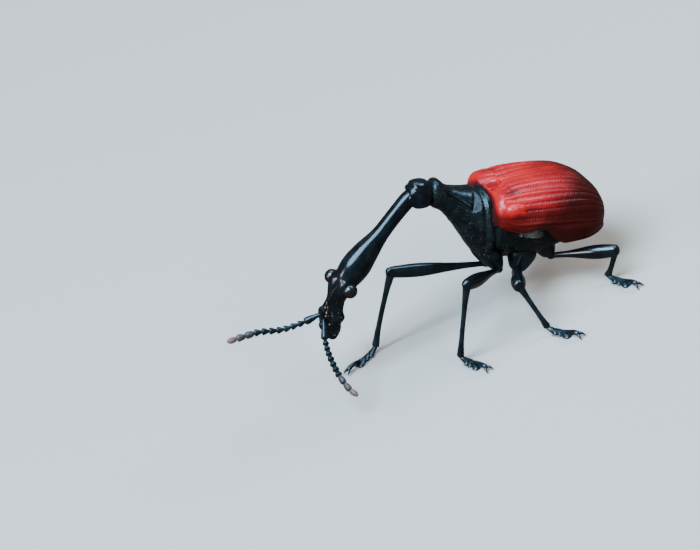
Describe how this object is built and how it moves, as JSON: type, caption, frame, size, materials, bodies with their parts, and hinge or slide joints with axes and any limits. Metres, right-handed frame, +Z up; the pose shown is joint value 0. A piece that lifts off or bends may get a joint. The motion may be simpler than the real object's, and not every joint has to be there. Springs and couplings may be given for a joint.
{
  "type": "giraffe weevil",
  "caption": "Life-size still model of a long-necked weevil with red wing cases, standing on its legs with the neck bent down.",
  "frame": {"origin": "on the floor, under the middle of the animal's box", "axes": "+X from head to tail, +Y to the animal's right, +Z up"},
  "size_m": [0.0244, 0.0162, 0.0105],
  "materials": {
    "black_shell": "glossy black insect shell with a cold sheen, finely punctured",
    "blue_black_shell": "glossy blue-black leg and feeler shell",
    "red_shell": "glossy deep red wing case with lengthwise rows of punctures",
    "eye_gloss": "very glossy dark brown eye",
    "club_grey": "dull dark feeler club, paler at its tip"
  },
  "bodies": {
    "root": {"pronotum": "black_shell", "thorax": "black_shell", "abdomen": "black_shell", "scutellum": "red_shell", "elytron_left": "red_shell", "elytron_right": "red_shell", "neck_ball": "black_shell", "neck": "black_shell", "head": "black_shell", "rostrum": "black_shell", "mandibles": "black_shell", "eye_left": "eye_gloss", "eye_right": "eye_gloss", "antenna_left_scape": "blue_black_shell", "antenna_left_funicle": "blue_black_shell", "antenna_left_club": "club_grey", "antenna_right_scape": "blue_black_shell", "antenna_right_funicle": "blue_black_shell", "antenna_right_club": "club_grey", "front_left_coxa": "black_shell", "front_left_femur": "black_shell", "front_left_tibia": "blue_black_shell", "front_left_tarsus": "blue_black_shell", "front_right_coxa": "black_shell", "front_right_femur": "black_shell", "front_right_tibia": "blue_black_shell", "front_right_tarsus": "blue_black_shell", "middle_left_coxa": "black_shell", "middle_left_femur": "black_shell", "middle_left_tibia": "blue_black_shell", "middle_left_tarsus": "blue_black_shell", "middle_right_coxa": "black_shell", "middle_right_femur": "black_shell", "middle_right_tibia": "blue_black_shell", "middle_right_tarsus": "blue_black_shell", "hind_left_coxa": "black_shell", "hind_left_femur": "black_shell", "hind_left_tibia": "blue_black_shell", "hind_left_tarsus": "blue_black_shell", "hind_right_coxa": "black_shell", "hind_right_femur": "black_shell", "hind_right_tibia": "blue_black_shell", "hind_right_tarsus": "blue_black_shell"}
  },
  "joints": []
}
